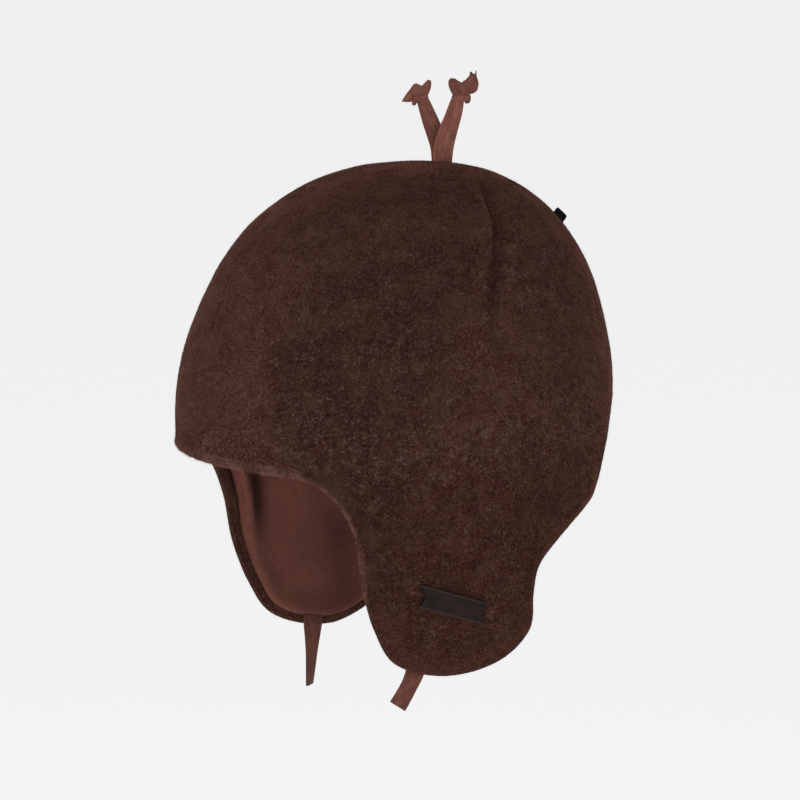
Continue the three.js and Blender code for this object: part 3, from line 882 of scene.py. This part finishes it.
def lining_half(side):
    share = np.linspace(0, 1, LINING_COLUMNS + 1)
    azimuth, way = cloth_rows(share, LINING_ROWS["crown"], LINING_ROWS["lower"], side, nearest=0)
    even = cloth_point(azimuth, way, LINING_START + LINING)
    swell = lining_swell(even, even[:, -1], share)
    inner = LINING_START + LINING + np.maximum(swell, -HOLLOW["deepest"])
    sag = read_off(ROLL_SAG, share)[:, None]
    sagged = way + sag * np.maximum(swell, 0) / TAPER_DEPTH
    sections = [
        (azimuth, way, np.full(way.shape, LINING_START)),
        (azimuth[:, ::-1], sagged[:, ::-1], inner[:, ::-1]),
    ]
    bm, rows = half_of_cloth(LINING_COLUMNS, sections, side)
    paint_lining_shade(bm, even[:, -1], share, side)
    return bm, rows


for name, side in SIDES.items():
    bm, lining_rows = lining_half(side)
    finished(bm, name + "_lining", jersey, "lining", name + "_lining_panel")
print("lining rows:", lining_rows)

# %% [markdown]
# Flat tapes
#
# The ties are narrow strips of the same jersey, folded and stitched flat. Each is swept along a few
# stations with a rounded flat section. A curve with a bevel would twist at the bends, so each
# station says for itself which way the width runs.

# %% Tape helper
TAPE_WIDTH = 7.5 * MM
TAPE_THICKNESS = 1.2 * MM
# How a section is flattened, where 1 is round and 0 is square: at its edges, and on its faces
TAPE_EDGE, LEAF_EDGE = 0.45, 0.6
FACE = 0.8


def through(rows, spot):
    """Values at spot, from 0 to 1, on a smooth curve through evenly spaced rows."""
    rows = np.asarray(rows, float)
    at = np.clip(spot, 0, 1) * (len(rows) - 1)
    first = np.minimum(at.astype(int), len(rows) - 2)
    part = (at - first)[:, None]
    padded = np.vstack([2 * rows[0] - rows[1], rows, 2 * rows[-1] - rows[-2]])
    a, b, c, d = (padded[first + step] for step in range(4))
    return b + 0.5 * part * (c - a + part * (2 * a - 5 * b + 4 * c - d + part * (3 * (b - c) + d - a)))


def signed_power(value, power):
    return np.sign(value) * np.abs(value) ** power


def swept(centre, reach, lift, edge, sides=20):
    """A flat rounded tube along centre, reach to each side and lift up and down, with UVs in metres."""
    turn = np.linspace(0, 2 * np.pi, sides + 1)
    aside = signed_power(np.cos(turn), edge)[:, None]
    rise = signed_power(np.sin(turn), FACE)[:, None]

    def place(column, row):
        return centre[row] + reach[row] * aside[column] + lift[row] * rise[column]

    bm = bent_grid(sides, len(centre) - 1, place)
    around = 4 * np.linalg.norm(reach, axis=1).mean()
    length = np.linalg.norm(np.diff(centre, axis=0), axis=1).sum()
    surface = bm.loops.layers.uv["surface"]
    for face in bm.faces:
        for loop in face.loops:
            u, v = loop[surface].uv
            loop[surface].uv = (u * around, v * length)
    return bm


def tape(stations, thickness=TAPE_THICKNESS, steps=48, sides=20):
    """A flat tape through stations of (place, way of its width, width)."""
    spot = np.linspace(0, 1, steps + 1)
    centre = through([station[0] for station in stations], spot)
    across = through([station[1] for station in stations], spot)
    width = through([[station[2]] for station in stations], spot)
    forward = unit(np.gradient(centre, axis=0))
    across = unit(across - forward * (across * forward).sum(1, keepdims=True))
    facing = np.cross(forward, across)
    return swept(centre, across * width / 2, facing * thickness / 2, TAPE_EDGE, sides)


def leaf(rows, side, steps=30):
    """A flat rounded form that stands beside the seam, from a table of its two edges.

    Each row is y and z of one edge, y and z of the other, how far the middle stands out from the
    seam, and the thickness there, all in mm.
    """
    values = through(np.array(rows) * MM, np.linspace(0, 1, steps + 1))
    one, other, out, thickness = np.split(values, (2, 4, 5), axis=1)
    zero = np.zeros_like(out)
    centre = np.hstack([side * out, (one + other) / 2 + [0, WIDEST_LEVEL]])
    reach = np.hstack([zero, (other - one) / 2])
    lift = np.hstack([side * thickness / 2, zero, zero])
    return swept(centre, reach, lift, LEAF_EDGE)


def join(parts, painted_shades=None):
    """One bmesh that holds all the parts, each closed and facing outwards, and with its own painted shade.
    """
    whole = bmesh.new()
    whole.loops.layers.uv.new("surface")
    whole.verts.layers.float.new("shade")
    for part, shade in zip(parts, painted_shades or [0.0] * len(parts)):
        layer = part.verts.layers.float.new("shade")
        for vertex in part.verts:
            vertex[layer] = shade
        close_up(part)
        mesh = bpy.data.meshes.new("part")
        part.to_mesh(mesh)
        part.free()
        whole.from_mesh(mesh)
        bpy.data.meshes.remove(mesh)
    return whole


# %% Tape materials
def tape_cloth(name, *tones):
    """Jersey folded to a tape, with its ribs and streaks along the tape, and painted shade in its low
    stitches and where its shade attribute says.
    """
    material, tree, shader = new_material(name, 0.85, 0.2, 0.4, (230, 170, 155), 0.15)
    cloth = mottled(tree, coordinates(tree), tones, (150.0, 500.0, 900.0), 0.2)
    flat = coordinates(tree, "UV")
    stretched = add_node(tree, "ShaderNodeMapping", {"Vector": flat, "Scale": (800.0, 60.0, 1.0)})
    pulled = noise_node(tree, stretched.outputs["Vector"], 1.0, 2.0, 0.6, 0.2)
    weave = knit_height(tree, flat, "Y", "X", 1.2 * MM)
    colour = cloth["Color"]
    # Painted shade from the weave's low stitches and from the shade attribute, on knots and ties in shadow;
    # the streaks pulled along the tape vary its tone
    for shade in (
        map_range(tree, weave, -0.8, 0.8, 0.93, 1.05),
        map_range(tree, pulled, 0.32, 0.58, 0.68, 1.06),
        map_range(tree, attribute(tree, "shade"), 0.0, 1.0, 1.0, 0.6),
    ):
        colour = mix_colour(tree, 1.0, colour, shade, "MULTIPLY")
    tree.links.new(colour, shader.inputs["Base Color"])
    height = math_node(tree, "ADD", weave, math_node(tree, "MULTIPLY", pulled, 3.0))
    bump(tree, shader, height, 0.6, 0.25 * MM)
    return material


# The same jersey twice: a copy painted lighter as lit for the top ties, and one painted darker as shaded for
# the chin ties
top_cloth_painted_lit = tape_cloth("top_tie_cloth_painted_lit", (106, 63, 54), (123, 77, 67), (132, 83, 68), (152, 105, 94))
chin_cloth_painted_shaded = tape_cloth("chin_tie_cloth_painted_shaded", (82, 47, 40), (99, 60, 51), (106, 64, 52), (122, 81, 72))

# %% [markdown]
# Top ties
#
# Two tapes stand in the seam just behind the top of the head, cross, and lean apart. Each ends in an
# overhand knot: a wrap round the tape, a folded loop and a cut tail. A simulated knot would cost
# minutes for a piece 8 mm wide, so each fold is a table of its two edges, as seen from the side.

# %% Top ties
LEFT_TOP = {
    "strap": [
        (10.0, 94.3, 19.3, 93.5, 0.75, 1.2),
        (9.8, 98.4, 19.5, 97.7, 0.8, 1.2),
        (10.2, 103.0, 20.2, 102.4, 0.9, 1.2),
        (11.5, 107.8, 21.5, 107.5, 1.1, 1.2),
        (13.3, 111.6, 22.8, 112.1, 1.3, 1.2),
        (14.9, 114.7, 23.7, 115.5, 1.5, 1.2),
        (16.4, 118.2, 24.2, 119.0, 1.7, 1.3),
        (17.8, 121.2, 24.2, 121.4, 1.8, 1.6),
        (18.8, 122.7, 24.0, 122.9, 1.8, 1.8),
    ],
    "wrap": [
        (18.8, 121.9, 20.0, 124.4, 1.6, 2.2),
        (21.1, 121.1, 22.5, 124.3, 1.9, 3.2),
        (23.5, 120.5, 24.9, 123.9, 1.9, 3.2),
        (25.7, 120.9, 26.7, 123.5, 1.6, 2),
    ],
    "loop": [
        (20.6, 121.6, 25.0, 123.6, 1.8, 2),
        (18.9, 123.5, 24.2, 127.5, 2.2, 2.8),
        (17.0, 126.7, 22.0, 128.9, 2.4, 3),
        (16.7, 129.3, 20.6, 129.7, 2.3, 2.2),
        (17.7, 130.6, 19.7, 130.4, 2.2, 1.2),
    ],
    "tail": [
        (21.5, 122.9, 21.1, 127.1, 1.6, 2),
        (23.2, 123.7, 23.0, 128.4, 1.8, 2.2),
        (26.1, 123.4, 25.1, 129.7, 2.1, 1.8),
        (29.1, 124.0, 26.4, 131.0, 2.3, 1.4),
        (30.7, 125.3, 27.9, 132.0, 2.2, 1.2),
        (31.3, 127.4, 29.8, 131.9, 2, 1.2),
    ],
    "tail_point": [
        (26.7, 130.4, 28.7, 130.9, 2.2, 1.2),
        (27.1, 132.0, 28.3, 132.1, 2.1, 1),
        (27.2, 132.7, 28.0, 132.8, 2, 0.8),
    ],
    "loose_thread": [
        (29.3, 130.7, 30.2, 130.8, 2, 0.7),
        (29.9, 132.2, 30.4, 132.3, 1.9, 0.5),
        (30.2, 133.2, 30.5, 133.2, 1.8, 0.4),
    ],
    "under": [
        (24.3, 123.2, 27.3, 124.2, 1, 1.6),
        (25.2, 121.9, 28.1, 122.4, 0.9, 1.8),
        (25.4, 120.5, 28.0, 120.8, 0.9, 1.6),
        (25.8, 119.6, 27.4, 119.8, 0.9, 1),
    ],
}
RIGHT_TOP = {
    "strap": [
        (10.4, 94.1, 18.8, 93.6, 0.75, 1.2),
        (10.3, 97.8, 18.8, 97.4, 0.8, 1.2),
        (9.8, 102.0, 18.4, 102.3, 0.9, 1.2),
        (8.5, 106.2, 16.7, 108.0, 1.1, 1.2),
        (6.6, 111.4, 14.3, 113.1, 1.3, 1.2),
        (5.1, 116.4, 11.7, 118.1, 1.5, 1.3),
        (4.1, 120.5, 9.6, 122.0, 1.7, 1.6),
        (4.0, 122.6, 8.6, 123.6, 1.8, 1.8),
    ],
    "wrap": [
        (2.7, 121.6, 2.0, 124.4, 1.4, 2),
        (5.0, 121.3, 4.2, 124.9, 1.9, 3),
        (7.2, 121.8, 6.2, 125.5, 1.9, 3),
        (8.9, 122.7, 7.7, 125.7, 1.5, 1.8),
    ],
    "loop": [
        (3.9, 123.9, 8.1, 122.1, 1.8, 2),
        (5.3, 125.8, 9.3, 124.0, 2.1, 2.4),
        (6.6, 127.5, 10.5, 126.3, 2.2, 2.2),
        (8.1, 129.0, 10.8, 128.5, 2.1, 1.7),
        (9.3, 130.0, 10.4, 129.8, 2, 1),
    ],
    "tail": [
        (7.8, 123.7, 8.2, 126.1, 1.4, 1.8),
        (6.2, 123.2, 6.4, 127.5, 1.6, 2.2),
        (3.8, 122.1, 3.1, 128.8, 1.9, 1.8),
        (1.2, 121.3, 0.9, 126.6, 2.1, 1.5),
        (-0.9, 121.3, -1.3, 124.3, 2.1, 1.2),
        (-3.0, 121.6, -3.1, 122.0, 2, 0.9),
    ],
    "under": [
        (1.8, 123.3, 4.6, 123.2, 0.9, 1.6),
        (1.2, 121.8, 3.5, 121.6, 0.8, 1.5),
        (0.9, 120.6, 2.9, 120.6, 0.8, 1.3),
        (1.3, 119.9, 2.2, 119.9, 0.8, 0.9),
    ],
}
# Painted shade on each part: the near tie has the darker knot, and the one behind the darker strap
TIE_PAINTED_SHADES = {
    "left": {"strap": 0, "wrap": 0.3, "knot": 0.65},
    "right": {"strap": 0.65, "wrap": 0.4, "knot": 0.35},
}
for name, table in (("left", LEFT_TOP), ("right", RIGHT_TOP)):
    painted_shades = [TIE_PAINTED_SHADES[name].get(part, TIE_PAINTED_SHADES[name]["knot"]) for part in table]
    bm = join([leaf(rows, SIDES[name]) for rows in table.values()], painted_shades)
    finished(bm, name + "_top_tape", top_cloth_painted_lit, "tie_tape", name + "_top_tie")

# %% [markdown]
# Chin ties
#
# A shorter tape hangs from inside the hem at the bottom of each flap. It could hang straight down
# like a plumb line, but cloth has its own set: the near one swings forward, and the far one turns
# on itself as it hangs, so that it looks narrower at its cut end.

# %% Chin ties
# How much wider a tie is where it is sewn in, and how soon it narrows again
FLARE = 1.25
NARROWS = 2.2
SWING_POWER = 1.3
# Where a tie is sewn in and where it leaves the hem, as distances from the edge
SEWN = (3.3 * MM, 0.5 * MM)
CHIN_TIES = {
    # azimuth, how far it hangs, how far it swings to the back, its twist, and its painted shade
    "left": (74, 14.6 * MM, -8.7 * MM, math.radians(-20), 0.05),
    "right": (77.5, 27.3 * MM, -1.8 * MM, math.radians(-38), 0.85),
}


def chin_tie(side, azimuth, hang, swing, twist, shade):
    """A tie that leaves the hem where the front of the flap's edge reaches an azimuth."""
    front = edge_shares < 0.5
    share = np.interp(azimuth, edge_points[front, 1], edge_shares[front])
    inside = HEM[:, 1].max() + GAP + TAPE_THICKNESS / 2
    ends = []
    for from_edge in SEWN:
        at, way = edge_place(share, from_edge, side)[1:]
        ends.append(cloth_point(at, way, inside) + [0, 0, WIDEST_LEVEL])
    top, low = ends
    across = unit(np.cross(low - top, form_normal(at, way)))
    across *= np.sign(across[1])
    stations = [(top, across, FLARE * TAPE_WIDTH), (low, across, FLARE * TAPE_WIDTH)]
    for part in np.linspace(0, 1, 7)[1:]:
        turned = Quaternion((0, 0, 1), twist * part) @ Vector(across)
        width = TAPE_WIDTH * (1 + (FLARE - 1) * max(1 - NARROWS * part, 0))
        stations.append((low + [0, swing * part ** SWING_POWER, -hang * part], np.array(turned), width))
    stations = [(at * [side, 1, 1], wide * [side, 1, 1], width) for at, wide, width in stations]
    return join([tape(stations)], [shade])


for name, values in CHIN_TIES.items():
    bm = chin_tie(SIDES[name], *values)
    finished(bm, name + "_chin_tape", chin_cloth_painted_shaded, "tie_tape", name + "_chin_tie")

# %% [markdown]
# Label
#
# A strip of dark leather with a notch in each end is sewn on the wearer's left flap, a little off
# level. A flat strip would stand off the round cloth at both ends, so the label asks the same
# function as the shell where it lies, and then gets its thickness. Its face stays bare.

# %% Leather material
HIDE_TONES = ((21, 15, 12), (29, 21, 18), (36, 27, 23), (60, 47, 41))
# The long edges are rubbed, and a groove is pressed beside them: shares of the height from the middle
RUBBED = (0.36, 0.47)
GROOVE = {"at": 0.37, "half": 0.022, "depth": 1.2}
leather, tree, shader = new_material("leather", 0.75, specular=0.08)
hide = mottled(tree, coordinates(tree), HIDE_TONES, (160.0, 900.0, 500.0), 0.25)
up = add_node(tree, "ShaderNodeSeparateXYZ", {"Vector": coordinates(tree, "UV")}).outputs["Y"]
from_middle = math_node(tree, "ABSOLUTE", math_node(tree, "SUBTRACT", up, 0.5))
rubbed = math_node(tree, "MULTIPLY", map_range(tree, from_middle, *RUBBED), hide["Height"])
worn = mix_colour(tree, rubbed, hide["Color"], srgb(58, 45, 39))
from_groove = math_node(tree, "ABSOLUTE", math_node(tree, "SUBTRACT", from_middle, GROOVE["at"]))
pressed = map_range(tree, from_groove, 0.0, GROOVE["half"], 1.0, 0.0)
tree.links.new(mix_colour(tree, pressed, worn, srgb(15, 10, 8)), shader.inputs["Base Color"])
sunk = math_node(tree, "MULTIPLY", pressed, GROOVE["depth"])
bump(tree, shader, math_node(tree, "SUBTRACT", hide["Height"], sunk), 0.6, 0.3 * MM)

# %% Label
LABEL = {"length": 34 * MM, "height": 10 * MM, "thickness": 1.2 * MM, "notch": 3.0 * MM}
LABEL_PLACE = {"azimuth": 79.3, "way": 1.742, "tilt": math.radians(-20), "lean": math.radians(5)}
LABEL_COLUMNS, LABEL_ROWS = 68, 20
# Steps in which a distance round the form is turned into an azimuth
ROUND_STEPS = 6


def label_point(along, up, depth):
    """Places of the label: along its length, up its height, and a depth below the cloth's face."""
    tilt, lean = LABEL_PLACE["tilt"], LABEL_PLACE["lean"]
    round_it = along * np.cos(tilt) - up * np.sin(lean)
    rise = along * np.sin(tilt) + up * np.cos(lean)
    way = LABEL_PLACE["way"] - rise / TAPER_DEPTH
    azimuth = np.full(np.shape(way), LABEL_PLACE["azimuth"])
    for _ in range(ROUND_STEPS):
        azimuth = azimuth + round_it / ROUND_STEPS / round_speed(azimuth, way)
    return cloth_point(azimuth, way, depth) + [GAP / 2, 0, WIDEST_LEVEL]


def label_place(column, row):
    up = (row / LABEL_ROWS - 0.5) * LABEL["height"]
    cut = LABEL["notch"] * (1 - np.abs(up) / (LABEL["height"] / 2))
    along = (column / LABEL_COLUMNS - 0.5) * (LABEL["length"] - 2 * cut)
    return label_point(along, up, -GAP - LABEL["thickness"])


bm = bent_grid(LABEL_COLUMNS, LABEL_ROWS, label_place)
bmesh.ops.recalc_face_normals(bm, faces=bm.faces)
if sum(face.normal.x for face in bm.faces) < 0:
    bmesh.ops.reverse_faces(bm, faces=bm.faces)
bmesh.ops.solidify(bm, geom=bm.faces, thickness=LABEL["thickness"])
close_up(bm)
finished(bm, "leather_label", leather, "label_leather", "label")

# %% Thread that holds the label at each end
STITCH = {"from_end": 4.2 * MM, "half": 0.8 * MM, "apart": 1.5 * MM, "width": 0.45 * MM}
# How far the middle of a stitch stands up, and its ends go down into the leather from there
STITCH_UP, STITCH_BOW = 0.1 * MM, 0.35 * MM
thread, tree, shader = new_material("thread", 0.8, specular=0.2)
strand = noise_node(tree, coordinates(tree), 1500.0)
tree.links.new(mix_colour(tree, strand, srgb(12, 9, 8), srgb(34, 26, 23)), shader.inputs["Base Color"])
bars = []
for end in (-1, 1):
    for up in (-STITCH["apart"], 0.0, STITCH["apart"]):
        row = []
        for along in (-1, -0.5, 0, 0.5, 1):
            at = end * (LABEL["length"] / 2 - STITCH["from_end"]) + along * STITCH["half"]
            depth = STITCH_BOW * along * along - STITCH_UP - GAP - LABEL["thickness"]
            spot, above = (label_point(np.array(at), np.array(y), depth) for y in (up, up + STITCH["width"]))
            row.append((spot, unit(above - spot), STITCH["width"]))
        bars.append(tape(row, STITCH["width"], 8, 8))
finished(join(bars), "label_stitches", thread, "label_leather")

# %% [markdown]
# Back tab
#
# A folded black ribbon is caught in the back seam. Its fold could be a bent plane with thickness
# added, but the tape of the ties is at hand, so the ribbon is that tape, only thinner: up from the
# seam, over the fold, and down again.

# %% Ribbon material and tab
TAB = {"width": 6.2 * MM, "proud": 8.2 * MM, "thickness": 0.7 * MM, "spread": 0.45 * MM}
TAB_PLACE = {"polar": 48.1, "lean": math.radians(16)}
# The ribbon's way over its fold: aside in spreads, and up as a share of how far it stands proud
TAB_WAY = ((-1, 0), (-1, 0.5), (-1.1, 0.88), (0, 0.98), (1.1, 0.88), (1, 0.5), (1, 0))
ribbon, tree, shader = new_material("ribbon", 0.8, specular=0.1)
weave = knit_height(tree, coordinates(tree), "X", "Z", 0.5 * MM, 0.5 * MM)
# Painted shade: the ribbon's low threads are darker
shade = map_range(tree, weave, -0.8, 0.8)
tree.links.new(mix_colour(tree, shade, srgb(5, 4, 4), srgb(13, 11, 10)), shader.inputs["Base Color"])
bump(tree, shader, weave, 0.4, 0.15 * MM)

way = np.array(TAB_PLACE["polar"] / 90)
square = Vector(form_normal(np.array(180.0), way))
out = Quaternion((1, 0, 0), TAB_PLACE["lean"]) @ square
along_seam = np.array(out.cross(Vector((1, 0, 0))))
lift = GAP + TAB["width"] / 2 * math.sin(TAB_PLACE["lean"])
seat = form_point(np.array(180.0), way) + np.array(square) * lift + [0, 0, WIDEST_LEVEL]
fold = []
for aside, rise in TAB_WAY:
    at = seat + np.array(out) * rise * TAB["proud"] + [aside * TAB["spread"], 0, 0]
    fold.append((at, along_seam, TAB["width"]))
finished(join([tape(fold, TAB["thickness"], 48, 12)]), "folded_tab", ribbon, "tab_ribbon", "back_tab")

# %% [markdown]
# Floor and light
#
# The hat is shot on an even, pale ground under soft light, with almost no shadow. A curved backdrop
# would do that too, but it would hide the hat from behind. So the hat is held up at the height of
# a child's head, over a floor so far below that no shadow shows on it.

# %% Floor
FLOOR = {"drop": 0.9, "size": 60.0, "colour": (0.93, 0.93, 0.93, 1.0), "glow": 0.455}
WHITE = (1.0, 1.0, 1.0, 1.0)
bm = bmesh.new()
bmesh.ops.create_grid(bm, x_segments=1, y_segments=1, size=FLOOR["size"] / 2)
bmesh.ops.translate(bm, verts=bm.verts, vec=(0, 0, -FLOOR["drop"]))
floor_mesh = bpy.data.meshes.new("floor")
bm.to_mesh(floor_mesh)
bm.free()
ground, tree, shader = new_material("ground", 0.9, specular=0.0)
shader.inputs["Base Color"].default_value = FLOOR["colour"]
shader.inputs["Emission Color"].default_value = WHITE
shader.inputs["Emission Strength"].default_value = FLOOR["glow"]
floor_mesh.materials.append(ground)
floor = placed("floor", floor_mesh)
floor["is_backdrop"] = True

# %% Light
# Strength of the studio's light at the horizon and overhead
SKY = (0.77, 0.28)
LAMPS = {
    # azimuth and height in degrees, distance and size in metres, power in watts
    "front": (54, 9, 1.8, 1.2, 17),
    "left": (-10, 5, 1.6, 0.9, 4.4),
    "right": (135, 5, 1.6, 0.8, 0.5),
}
scene = bpy.context.scene
scene.view_settings.view_transform = "Standard"
scene.view_settings.look = "None"
scene.world = bpy.data.worlds.new("world")
scene.world.use_nodes = True
sky = scene.world.node_tree
up = add_node(sky, "ShaderNodeSeparateXYZ", {"Vector": coordinates(sky, "Generated")}).outputs["Z"]
strength = map_range(sky, up, 0.0, 1.0, *SKY)
sky.links.new(strength, sky.nodes["Background"].inputs["Strength"])
sky.nodes["Background"].inputs["Color"].default_value = WHITE
for name, (azimuth, height, distance, size, power) in LAMPS.items():
    lamp = bpy.data.lights.new(name, "AREA")
    lamp.size = size
    lamp.energy = power
    aimed(name, lamp, azimuth, height, distance)
print("lamps:", list(LAMPS))

# %% Sizes of the finished hat
seen_low, seen_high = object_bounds()
size = {
    "cad": [list(cad_low), list(cad_high)],
    "visual": [list(seen_low), list(seen_high)],
}
print("visual box, mm:", [round((b - a) / MM, 1) for a, b in zip(seen_low, seen_high)])
